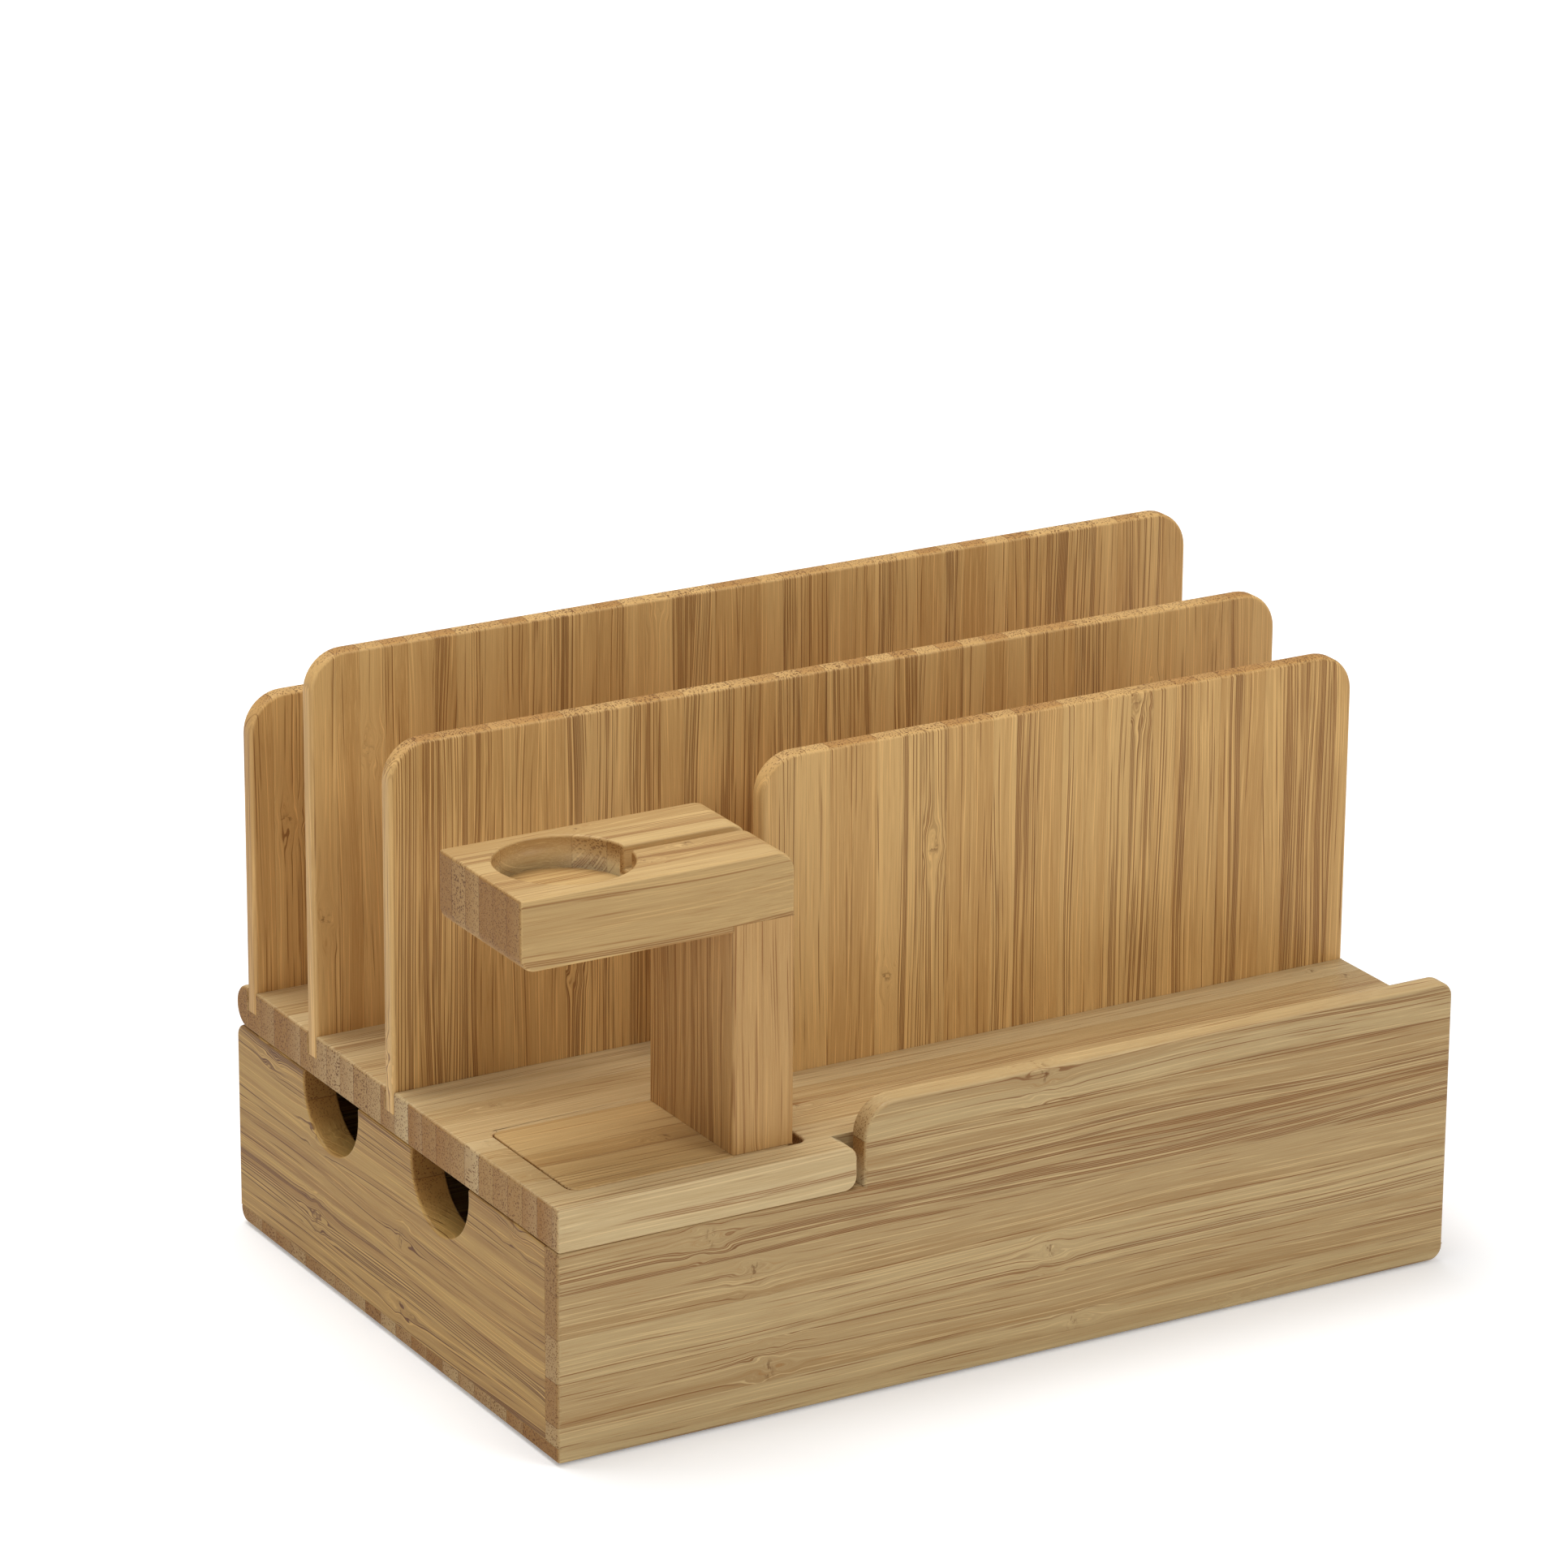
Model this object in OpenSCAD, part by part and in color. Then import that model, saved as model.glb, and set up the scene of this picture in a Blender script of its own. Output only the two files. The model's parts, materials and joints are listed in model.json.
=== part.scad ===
// Desk charging organizer in laminated bamboo.
// An open box carries a lift-off deck with upright dividers, and a small stand drops into the deck.
// Millimetres. +X runs right along the front, +Y runs to the back, +Z is up.
// The origin lies on the desk, under the middle of the whole outline.

/* [Box] */
// Outside width of the box, left to right
box_w = 214; // [200:1:260]
// Outside depth of the box, front to back
box_d = 144.5; // [140:0.5:190]
// Height of the side panels' top edge above the underside of the base board
box_h = 45.5; // [40:0.5:80]
// Thickness of the base board
base_t = 3.5; // [3.2:0.1:6]
// Thickness of the side and back panels
side_t = 7.5; // [7:0.1:10]
// Thickness of the front panel
front_t = 5.4; // [5:0.1:8]
// How far the back panel stands in from the rear ends of the sides
back_inset = 2; // [0:0.5:5]
// Rounding of the base board's right and rear lower edges
base_round = 3; // [0.5:0.1:3.1]
// Rounding of the sides' upper rear corner
side_round = 3; // [0.5:0.1:5]

/* [Front lip] */
// Distance from the left side to the raised part of the front panel
lip_x = 70.2; // [68:0.1:90]
// Height of the lip above the deck
lip_rise = 8.3; // [3:0.1:16]
// Rounding of the lip's upper left corner
lip_left_r = 7.6; // [2:0.1:11]
// Rounding of the lip's upper right corner
lip_right_r = 3.3; // [2:0.1:11]

/* [Notches and power opening] */
// Radius of the round notches in the sides
notch_r = 12.5; // [6:0.1:15]
// Depth of a notch's centre below the top edge of the side
notch_drop = 2; // [0:0.1:6]
// Distance from the front of the box to the centre of the front notch
notch_y = 50.6; // [34:0.1:60]
// Distance between the two notches of a side
notch_pitch = 49.4; // [34:0.1:56]
// Width of the power opening in the back panel
power_w = 36; // [16:1:80]
// Height of the power opening in the back panel
power_h = 18; // [10:0.5:24]
// Height of the power opening's lower edge above the base board
power_sill = 7; // [4:0.5:9]

/* [Deck] */
// Thickness of the deck
deck_t = 9.5; // [9:0.1:14]
// Depth of the divider grooves in the deck
groove_d = 5; // [3:0.1:6]
// Gap between the deck and the lip, behind it and beside it
lip_gap = 1.6; // [0.8:0.1:3]
// Rounding of the deck's rear edge, over and under
nose_r = 4.6; // [0.5:0.1:4.7]
// Rounding of the right end of the deck's front tongue
tongue_r = 2.8; // [0.5:0.1:4]

/* [Dividers] */
// Thickness of the dividers and of the rest behind them
divider_t = 4.1; // [3:0.1:6]
// Rounding of the upper corners of the dividers
divider_r = 8.5; // [1:0.1:20]
// Depth of the open ledge from the deck's front edge to the front divider
ledge_d = 34; // [24:0.1:36]
// Width of the slot behind the front divider
front_slot_w = 25.6; // [10:0.1:27]
// Width of the slot behind the middle divider
rear_slot_w = 31.5; // [10:0.1:33]
// Distance from the rest to the deck's rear edge
rest_setback = 5.4; // [5:0.1:8]
// Distance from the left side to the front divider
front_divider_x = 69.4; // [64:0.1:90]
// Height of the front divider above the deck
front_divider_h = 69.4; // [30:0.1:100]
// Height of the middle divider above the deck
middle_divider_h = 74.9; // [30:0.1:110]
// Height of the rear divider above the deck
rear_divider_h = 83.5; // [30:0.1:120]
// Height of the rest above the deck
rest_h = 66; // [30:0.1:120]

/* [Small stand] */
// Depth of the stand, front to back
stand_d = 34.5; // [32:0.1:38]
// Distance from the front of the box to the stand
stand_y = 7.5; // [6:0.1:8]
// Distance from the left side to the foot
foot_x = 7.2; // [6:0.1:8]
// Length of the foot
foot_l = 50.7; // [40:0.1:51]
// Thickness of the foot, which is also the depth of its pocket
foot_t = 6; // [5:0.1:6.5]
// Open length of the pocket to the right of the foot
pocket_gap = 3; // [1:0.1:4]
// Corner rounding of the pocket and the foot
pocket_r = 2.2; // [1:0.1:4]
// Width of the post
post_w = 14; // [12:0.1:18]
// Free height under the arm
under_arm_h = 47.5; // [30:0.5:80]
// Depth by which the post is let into the arm
let_in = 1.5; // [0.5:0.1:3]
// Thickness of the arm
arm_t = 15.3; // [13:0.1:20]
// Length by which the arm reaches out past the left end of the foot
arm_over = 11; // [0:0.1:20]
// Rounding of the arm's lower left edge
arm_low_r = 3.5; // [0.5:0.1:6]
// Rounding of the arm's upper right edge
arm_top_r = 4.5; // [0.5:0.1:4.9]
// Radius of the round recess in the arm
puck_r = 14.2; // [12:0.1:15]
// Depth of the round recess in the arm
puck_d = 7; // [5:0.1:8]
// Distance from the arm's left end to the centre of the recess
puck_x = 18.9; // [17:0.1:24]
// Width of the arm's slot and of the groove down the stand
cord_w = 3.2; // [2.5:0.1:5]
// Depth of the arm's slot
cord_d = 5; // [3:0.1:7]
// Depth of the groove down the stand
cord_groove_d = 2.5; // [1.5:0.1:3]

/* [Cleats] */
// Width and height of the locating cleats under the deck
cleat = 8; // [6:0.1:10]
// Clearance between the cleats and the box
cleat_gap = 0.6; // [0.3:0.1:1.5]

/* [Fasteners and pads] */
// Shank radius of the wood screws
screw_r = 1.4; // [1.2:0.1:1.6]
// Head radius of the wood screws
screw_head_r = 2.7; // [2.2:0.1:3.1]
// Length of the base screws
base_screw_l = 18; // [12:0.5:24]
// Length of the cleat screws
cleat_screw_l = 12; // [10:0.5:13]
// Length of the foot screws
foot_screw_l = 20; // [14:0.5:28]
// Distance from the box's front and rear to the end base screws
base_screw_end = 24; // [16:0.5:34]
// Distance from the lip's left end and from the right side to the cleat screws
cleat_screw_end = 24; // [16:0.5:40]
// Distance from the stand's front and rear to the foot screws
foot_screw_end = 8; // [7:0.1:12]
// Radius of the dowels
dowel_r = 1.75; // [1.5:0.05:2]
// Length of the dowels in the box
panel_dowel_l = 16; // [12:0.5:20]
// Depth that a box dowel reaches into the panel beside it
panel_dowel_in = 3.5; // [2.5:0.1:4]
// Distance from a panel's lower and upper edge to its dowels
panel_dowel_end = 9; // [6:0.1:14]
// Radius of the dowels in the small stand
stand_dowel_r = 3; // [2:0.1:3.5]
// Length of the dowels in the small stand
stand_dowel_l = 20; // [14:0.5:30]
// Distance from the stand's front and rear to its dowels
stand_dowel_end = 9; // [6:0.1:13]
// Radius of the anti-slip pads
pad_r = 6; // [4:0.1:8]
// Thickness of the anti-slip pads
pad_t = 1.6; // [1.2:0.1:2.4]
// Height by which the pads stand out below the base board
pad_proud = 0.6; // [0.4:0.1:1]
// Distance from the box's corners to the pads' centres
pad_inset = 17; // [14:0.5:30]

/* [Hidden] */
$fn = 72;
fit = 0.1;
hole_fit = 0.04;
over = 1;

base_z = pad_proud;
panel_z = base_z + base_t;
deck_z = base_z + box_h;
deck_top = deck_z + deck_t;
panel_h = box_h - base_t;
lip_top = deck_top + lip_rise;

deck_y = front_t + lip_gap;
tongue_l = lip_x - lip_gap;
front_divider_y = deck_y + ledge_d;
middle_divider_y = front_divider_y + divider_t + front_slot_w;
rear_divider_y = middle_divider_y + divider_t + rear_slot_w;
rest_y = box_d - rest_setback - divider_t;

back_front_y = box_d - back_inset - side_t;
inner_w = box_w - 2 * side_t;

post_x = foot_x + foot_l - post_w;
arm_x = foot_x - arm_over;
arm_l = foot_x + foot_l - arm_x;
arm_z = deck_top + under_arm_h;
arm_top = arm_z + arm_t;
stand_mid_y = stand_y + stand_d / 2;
post_h = under_arm_h + let_in;
cord_hole_l = 9;
cord_hole_w = pocket_gap + cord_groove_d;

screw_head_h = screw_head_r - screw_r;
screw_tip_h = 3;
driver_w = 0.8;
driver_l = 3;
driver_d = 0.9;

base_screw_ys = [base_screw_end, box_d / 2, box_d - base_screw_end];
base_screw_xs = [side_t / 2, box_w - side_t / 2];
cleat_screw_xs = [lip_x + cleat_screw_end, box_w - cleat_screw_end];
cleat_ys = [front_t + cleat_gap, back_front_y - cleat_gap - cleat];
foot_screw_ys = [stand_y + foot_screw_end, stand_y + stand_d - foot_screw_end];
stand_dowel_ys = [stand_y + stand_dowel_end, stand_y + stand_d - stand_dowel_end];
panel_dowel_zs = [panel_z + panel_dowel_end, deck_z - panel_dowel_end];
rear_dowel_y = back_front_y + side_t / 2;

bamboo = "#d3ae74";
bamboo_light = "#dcbc86";
bamboo_brown = "#c4935a";
beech = "#d9bf94";
steel = "#b9bcc0";
soft_rubber = "#e4e2dc";

// Moves pieces drawn from the front left corner of the box to the frame of the whole organizer
module from_corner() translate([-(box_w + min(arm_x, 0)) / 2, -box_d / 2, 0]) children();

// Waste outside a quarter round of radius r; the board lies on the a, b side of the edge at the origin
module quarter_waste(r, a, b) {
    difference() {
        translate([a > 0 ? -over : -r, b > 0 ? -over : -r]) square(r + over);
        translate([a * r, b * r]) circle(r);
    }
}

// Cutters that round one straight edge that starts at the origin
module round_edge_x(length, r, in_y, in_z)
    translate([-over, 0, 0]) rotate([90, 0, 90])
        linear_extrude(length + 2 * over) quarter_waste(r, in_y, in_z);

module round_edge_y(length, r, in_x, in_z)
    translate([0, length + over, 0]) rotate([90, 0, 0])
        linear_extrude(length + 2 * over) quarter_waste(r, in_x, in_z);

// Upright plate in the XZ plane with rounded upper corners, its lower left front corner at the origin
module upright_plate(w, t, h, left_r, right_r) {
    difference() {
        cube([w, t, h]);
        translate([0, 0, h]) round_edge_y(t, left_r, 1, -1);
        translate([w, 0, h]) round_edge_y(t, right_r, -1, -1);
    }
}

// Countersunk wood screw that points up, with its head's flat face at the origin
module wood_screw(length) {
    difference() {
        union() {
            cylinder(h = screw_head_h, r1 = screw_head_r, r2 = screw_r);
            translate([0, 0, screw_head_h]) cylinder(h = length - screw_head_h - screw_tip_h, r = screw_r);
            translate([0, 0, length - screw_tip_h]) cylinder(h = screw_tip_h, r1 = screw_r, r2 = 0.3);
        }
        for (turn = [0, 90])
            rotate([0, 0, turn]) translate([-driver_l / 2, -driver_w / 2, -over])
                cube([driver_l, driver_w, driver_d + over]);
    }
}

module wood_screw_hole(length) {
    translate([0, 0, -over]) cylinder(h = over, r = screw_head_r + hole_fit);
    cylinder(h = screw_head_h, r1 = screw_head_r + hole_fit, r2 = screw_r + hole_fit);
    cylinder(h = length + hole_fit, r = screw_r + hole_fit);
}

module base_screw_places() for (x = base_screw_xs, y = base_screw_ys) translate([x, y, base_z]) children();

module cleat_screw_places()
    for (x = cleat_screw_xs, y = cleat_ys) translate([x, y + cleat / 2, deck_z - cleat]) children();

module foot_screw_places()
    for (y = foot_screw_ys) translate([post_x + post_w / 2, y, deck_top - foot_t]) children();

module stand_dowel_places()
    for (y = stand_dowel_ys)
        translate([post_x + post_w / 2 - cord_groove_d / 2, y, arm_z + let_in - stand_dowel_l / 2])
            children();

module pad_places()
    for (x = [pad_inset, box_w - pad_inset], y = [pad_inset, box_d - pad_inset]) translate([x, y, 0]) children();

// Dowels that join the front panel to the side panels' front ends
module front_dowel_places()
    for (x = base_screw_xs, z = panel_dowel_zs)
        translate([x, front_t - panel_dowel_in, z]) rotate([-90, 0, 0]) children();

// Dowels that join the back panel's ends to the side panels
module rear_dowel_places() {
    for (z = panel_dowel_zs) {
        translate([side_t - panel_dowel_in, rear_dowel_y, z]) rotate([0, 90, 0]) children();
        translate([box_w - side_t + panel_dowel_in, rear_dowel_y, z]) rotate([0, -90, 0]) children();
    }
}

module panel_dowel_hole()
    translate([0, 0, -hole_fit]) cylinder(h = panel_dowel_l + 2 * hole_fit, r = dowel_r + hole_fit);

module base_board() color(bamboo_brown) from_corner() {
    difference() {
        translate([0, 0, base_z]) cube([box_w, box_d, base_t]);
        translate([box_w, 0, base_z]) round_edge_y(box_d, base_round, -1, 1);
        translate([0, box_d, base_z]) round_edge_x(box_w, base_round, -1, 1);
        base_screw_places() wood_screw_hole(base_screw_l);
        pad_places() cylinder(h = pad_t, r = pad_r + hole_fit);
    }
}

module front_panel() color(bamboo_light) from_corner() {
    difference() {
        union() {
            translate([0, 0, panel_z]) cube([box_w, front_t, panel_h]);
            translate([lip_x, 0, panel_z])
                upright_plate(box_w - lip_x, front_t, lip_top - panel_z, lip_left_r, lip_right_r);
        }
        front_dowel_places() panel_dowel_hole();
    }
}

module side_panel(x) {
    difference() {
        translate([x, front_t, panel_z]) cube([side_t, box_d - front_t, panel_h]);
        translate([x, box_d, deck_z]) round_edge_x(side_t, side_round, -1, -1);
        for (y = [notch_y, notch_y + notch_pitch])
            translate([x - over, y, deck_z - notch_drop])
                rotate([0, 90, 0]) cylinder(h = side_t + 2 * over, r = notch_r);
        base_screw_places() wood_screw_hole(base_screw_l);
        front_dowel_places() panel_dowel_hole();
        rear_dowel_places() panel_dowel_hole();
    }
}

module left_side_panel() color(bamboo) from_corner() side_panel(0);

module right_side_panel() color(bamboo) from_corner() side_panel(box_w - side_t);

module back_panel() color(bamboo) from_corner() {
    difference() {
        translate([side_t, back_front_y, panel_z]) cube([inner_w, side_t, panel_h]);
        for (side = [-1, 1])
            translate([box_w / 2 + side * (power_w - power_h) / 2, back_front_y - over,
                    panel_z + power_sill + power_h / 2])
                rotate([-90, 0, 0]) cylinder(h = side_t + 2 * over, r = power_h / 2);
        translate([box_w / 2 - (power_w - power_h) / 2, back_front_y - over, panel_z + power_sill])
            cube([power_w - power_h, side_t + 2 * over, power_h]);
        rear_dowel_places() panel_dowel_hole();
    }
}

module panel_dowels() color(beech) from_corner() {
    front_dowel_places() cylinder(h = panel_dowel_l, r = dowel_r);
    rear_dowel_places() cylinder(h = panel_dowel_l, r = dowel_r);
}

module base_screws() color(steel) from_corner() base_screw_places() wood_screw(base_screw_l);

module anti_slip_pads() color(soft_rubber) from_corner() pad_places() cylinder(h = pad_t, r = pad_r);

module groove(x, y)
    translate([x, y - fit / 2, deck_top - groove_d])
        cube([box_w - x + over, divider_t + fit, groove_d + over]);

module rounded_block(w, d, h, r) {
    linear_extrude(h) {
        translate([r, 0]) square([w - 2 * r, d]);
        translate([0, r]) square([w, d - 2 * r]);
        for (x = [r, w - r], y = [r, d - r]) translate([x, y]) circle(r);
    }
}

module deck() color(bamboo_light) from_corner() {
    difference() {
        translate([0, 0, deck_z]) cube([box_w, box_d, deck_t]);
        translate([0, box_d, deck_z]) round_edge_x(box_w, nose_r, -1, 1);
        translate([0, box_d, deck_top]) round_edge_x(box_w, nose_r, -1, -1);
        translate([tongue_l, -over, deck_z - over])
            cube([box_w - tongue_l + over, deck_y + over, deck_t + 2 * over]);
        translate([tongue_l, -over, deck_z]) round_edge_y(deck_y, tongue_r, -1, 1);
        translate([tongue_l, -over, deck_top]) round_edge_y(deck_y, tongue_r, -1, -1);
        groove(front_divider_x - fit, front_divider_y);
        for (y = [middle_divider_y, rear_divider_y, rest_y]) groove(-over, y);
        translate([foot_x - fit, stand_y - fit, deck_top - foot_t])
            rounded_block(foot_l + pocket_gap + fit, stand_d + 2 * fit, foot_t + over, pocket_r);
        translate([foot_x + foot_l - cord_groove_d, stand_mid_y - cord_hole_l / 2, deck_z - over])
            cube([cord_hole_w, cord_hole_l, deck_t]);
        cleat_screw_places() wood_screw_hole(cleat_screw_l);
    }
}

module divider(x, y, h)
    translate([x, y, deck_top - groove_d])
        upright_plate(box_w - x, divider_t, groove_d + h, divider_r, divider_r);

module front_divider() color(bamboo) from_corner() divider(front_divider_x, front_divider_y, front_divider_h);

module middle_divider() color(bamboo) from_corner() divider(0, middle_divider_y, middle_divider_h);

module rear_divider() color(bamboo) from_corner() divider(0, rear_divider_y, rear_divider_h);

module tablet_rest() color(bamboo) from_corner() divider(0, rest_y, rest_h);

module deck_cleat(y) {
    difference() {
        translate([side_t + cleat_gap, y, deck_z - cleat]) cube([inner_w - 2 * cleat_gap, cleat, cleat]);
        cleat_screw_places() wood_screw_hole(cleat_screw_l);
    }
}

module front_cleat() color(bamboo_brown) from_corner() deck_cleat(cleat_ys[0]);

module rear_cleat() color(bamboo_brown) from_corner() deck_cleat(cleat_ys[1]);

module cleat_screws() color(steel) from_corner() cleat_screw_places() wood_screw(cleat_screw_l);

// Upright groove in the stand's right face
module cord_groove(z, h)
    translate([foot_x + foot_l - cord_groove_d, stand_mid_y - cord_w / 2, z - over])
        cube([cord_groove_d + over, cord_w, h + 2 * over]);

module watch_foot() color(bamboo_light) from_corner() {
    difference() {
        translate([foot_x, stand_y, deck_top - foot_t]) rounded_block(foot_l, stand_d, foot_t, pocket_r);
        cord_groove(deck_top - foot_t, foot_t);
        foot_screw_places() wood_screw_hole(foot_screw_l);
    }
}

module watch_post() color(bamboo_brown) from_corner() {
    difference() {
        translate([post_x, stand_y, deck_top]) cube([post_w, stand_d, post_h]);
        cord_groove(deck_top, post_h);
        foot_screw_places() wood_screw_hole(foot_screw_l);
        stand_dowel_places() stand_dowel_hole();
    }
}

module stand_dowel_hole()
    translate([0, 0, -hole_fit]) cylinder(h = stand_dowel_l + 2 * hole_fit, r = stand_dowel_r + hole_fit);

module watch_arm() color(bamboo_light) from_corner() {
    difference() {
        translate([arm_x, stand_y, arm_z]) cube([arm_l, stand_d, arm_t]);
        translate([arm_x, stand_y, arm_z]) round_edge_y(stand_d, arm_low_r, 1, 1);
        translate([arm_x + arm_l, stand_y, arm_top]) round_edge_y(stand_d, arm_top_r, -1, -1);
        translate([post_x, stand_y - over, arm_z - over]) cube([post_w + over, stand_d + 2 * over, let_in + over]);
        translate([arm_x + puck_x, stand_mid_y, arm_top - puck_d]) cylinder(h = puck_d + over, r = puck_r);
        translate([arm_x + puck_x, stand_mid_y - cord_w / 2, arm_top - cord_d])
            cube([arm_l, cord_w, cord_d + over]);
        cord_groove(arm_z, arm_t);
        stand_dowel_places() stand_dowel_hole();
    }
}

module arm_dowels() color(beech) from_corner() stand_dowel_places() cylinder(h = stand_dowel_l, r = stand_dowel_r);

module foot_screws() color(steel) from_corner() foot_screw_places() wood_screw(foot_screw_l);

base_board();
front_panel();
left_side_panel();
right_side_panel();
back_panel();
panel_dowels();
base_screws();
anti_slip_pads();
deck();
front_divider();
middle_divider();
rear_divider();
tablet_rest();
front_cleat();
rear_cleat();
cleat_screws();
watch_foot();
watch_post();
watch_arm();
arm_dowels();
foot_screws();
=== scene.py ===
# %% [markdown]
# A desk dock in laminated bamboo: a shallow box, a lift-off deck with upright dividers,
# and a small stand that drops into a pocket of the deck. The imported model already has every
# board in its real size. What it lacks is what a workshop adds at the end: eased edges, turned
# fasteners and the look of the wood itself, and this script adds them.

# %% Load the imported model
import json
import math

import bmesh
import bpy
from mathutils import Matrix, Vector
from mathutils.bvhtree import BVHTree


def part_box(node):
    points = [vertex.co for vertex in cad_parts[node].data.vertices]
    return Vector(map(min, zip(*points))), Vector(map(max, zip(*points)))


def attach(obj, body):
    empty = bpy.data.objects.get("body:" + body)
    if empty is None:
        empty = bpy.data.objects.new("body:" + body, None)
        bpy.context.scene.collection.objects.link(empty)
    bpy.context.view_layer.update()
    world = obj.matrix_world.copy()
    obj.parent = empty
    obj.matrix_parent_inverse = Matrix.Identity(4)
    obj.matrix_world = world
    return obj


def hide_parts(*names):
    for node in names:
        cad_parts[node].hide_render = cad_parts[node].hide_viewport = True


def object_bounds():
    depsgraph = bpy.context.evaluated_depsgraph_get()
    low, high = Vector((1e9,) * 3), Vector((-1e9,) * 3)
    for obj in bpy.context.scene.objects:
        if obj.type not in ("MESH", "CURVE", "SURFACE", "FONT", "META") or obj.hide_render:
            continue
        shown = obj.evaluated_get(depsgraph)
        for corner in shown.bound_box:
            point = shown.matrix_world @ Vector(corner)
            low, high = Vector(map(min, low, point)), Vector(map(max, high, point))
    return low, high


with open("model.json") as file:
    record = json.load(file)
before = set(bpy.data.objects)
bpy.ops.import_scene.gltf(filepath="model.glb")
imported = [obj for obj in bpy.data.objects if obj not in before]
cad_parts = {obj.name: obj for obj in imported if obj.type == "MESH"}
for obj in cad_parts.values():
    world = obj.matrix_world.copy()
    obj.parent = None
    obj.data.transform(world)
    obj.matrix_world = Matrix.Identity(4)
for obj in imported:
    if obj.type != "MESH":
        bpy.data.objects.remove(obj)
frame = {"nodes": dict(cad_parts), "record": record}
packed_box = [list(corner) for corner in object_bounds()]
scene = bpy.context.scene
body_of = {node: body for body, members in frame["record"]["behaviour"]["bodies"].items() for node in members}
print("nodes:", len(frame["nodes"]), "box in mm:", [[round(1000 * c, 1) for c in corner] for corner in packed_box])

# %% [markdown]
# The camera stands where it stood for the product picture: a long lens, a step to the left of
# the dock and a little above it. A long lens keeps the dock's upright edges parallel. The three
# angles are turned one after the other: aside, down, and a touch of roll.

# %% Camera
camera_data = bpy.data.cameras.new("camera")
camera_data.lens = 159.77
camera_data.sensor_width = 36
camera = bpy.data.objects.new("camera", camera_data)
scene.collection.objects.link(camera)
aside, downward, roll = (math.radians(a) for a in (-30.149, 19.354, 0.408))
camera.matrix_world = (
    Matrix.Translation((-0.70010, -1.18407, 0.58727))
    @ Matrix.Rotation(aside, 4, "Z")
    @ Matrix.Rotation(math.radians(90) - downward, 4, "X")
    @ Matrix.Rotation(roll, 4, "Z")
)
scene.camera = camera
print("camera axes:", [[round(c, 4) for c in row] for row in camera.matrix_world.to_3x3().transposed()])

# %% [markdown]
# A finish is a small network of nodes, and most of it is sums: a line is dark where one pattern
# is high and another is low. Such a network could be wired node by node, but then nobody can
# read the sums any more. So one small class stands for a socket and takes part in Python
# expressions, each of which adds its own Math nodes, and one method adds every other node.

# %% One method for every node, and sums that add their own
class Value:
    """A socket that takes part in sums: an expression on it adds its Math nodes."""

    def __init__(self, tree, socket):
        self.tree, self.socket = tree, socket

    def out(self, name):
        return Value(self.tree, pick(self.socket.node.outputs, name))

    def math(self, operation, *terms):
        return self.tree.add(self.tree.math_node, {"operation": operation}, *terms)

    def __add__(self, other):
        return self.math("ADD", self, other)

    def __radd__(self, other):
        return self.math("ADD", other, self)

    def __sub__(self, other):
        return self.math("SUBTRACT", self, other)

    def __rsub__(self, other):
        return self.math("SUBTRACT", other, self)

    def __mul__(self, other):
        return self.math("MULTIPLY", self, other)

    def __rmul__(self, other):
        return self.math("MULTIPLY", other, self)

    def __truediv__(self, other):
        return self.math("DIVIDE", self, other)

    def __rtruediv__(self, other):
        return self.math("DIVIDE", other, self)


def pick(sockets, key):
    """The socket with this number, identifier or name."""
    if isinstance(key, int):
        return sockets[key]
    same = [s for s in sockets if s.identifier == key] or [s for s in sockets if s.name == key]
    return same[0]


class Tree:
    """A node tree that is filled by one method."""

    math_node = "ShaderNodeMath"

    def __init__(self, tree):
        self.tree = tree
        tree.nodes.clear()

    def add(self, kind, settings=None, *values, output=0, **named):
        node = self.tree.nodes.new(kind)
        for key, setting in (settings or {}).items():
            setattr(node, key, setting)
        for key, value in [*enumerate(values), *named.items()]:
            socket = pick(node.inputs, key)
            if isinstance(value, Value):
                self.tree.links.new(value.socket, socket)
            else:
                socket.default_value = value
        return Value(self, pick(node.outputs, output)) if len(node.outputs) else node


def new_finish(name):
    """An empty material and its tree."""
    material = bpy.data.materials.new(name)
    material.use_nodes = True
    return material, Tree(material.node_tree)


def colour(red, green, blue):
    """A colour as read off a screen, 0 to 255, in the linear values that a shader takes."""
    part = lambda c: c / 12.92 if c <= 0.04045 else ((c + 0.055) / 1.055) ** 2.4
    return tuple(part(c / 255) for c in (red, green, blue)) + (1.0,)


def seen_directly(tree):
    """1 for rays straight from the camera, 0 for the rays that light things or show in their gloss."""
    return tree.add("ShaderNodeLightPath", output="Is Camera Ray")


# %% [markdown]
# The dock stands on a white table in a bright studio. The floor is a large plain sheet, and the
# white of the picture is given to camera rays only, so it adds no light to the dock. A brighter
# lamp would whiten the floor too, but it would also bleach the wood and drown the shadow.

# %% Floor and world
floor_finish, tree = new_finish("pale_floor")
place = tree.add("ShaderNodeTexCoord", output="Object")
mottle = tree.add("ShaderNodeTexNoise", {}, output="Fac", Vector=place, Scale=9.0, Detail=4.0)
paper = tree.add("ShaderNodeMix", {"data_type": "RGBA"}, output="Result_Color", Factor_Float=mottle,
                 A_Color=colour(240, 240, 240), B_Color=colour(244, 244, 244))
shade = tree.add("ShaderNodeBsdfPrincipled", {}, **{"Base Color": paper, "Roughness": 0.7, "Specular IOR Level": 0.2})
# painted shade: the white glow is weaker near the dock, so the floor round it is darker and its shadow deeper
away = tree.add("ShaderNodeVectorMath", {"operation": "LENGTH"}, output="Value", Vector=place)
rim = tree.add("ShaderNodeMapRange", {"interpolation_type": "SMOOTHSTEP"}, away, 0.14, 0.45, 0.70, 1.0)
glow_dimmed_near_dock = tree.add("ShaderNodeCombineXYZ", {}, rim, rim, rim)
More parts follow.
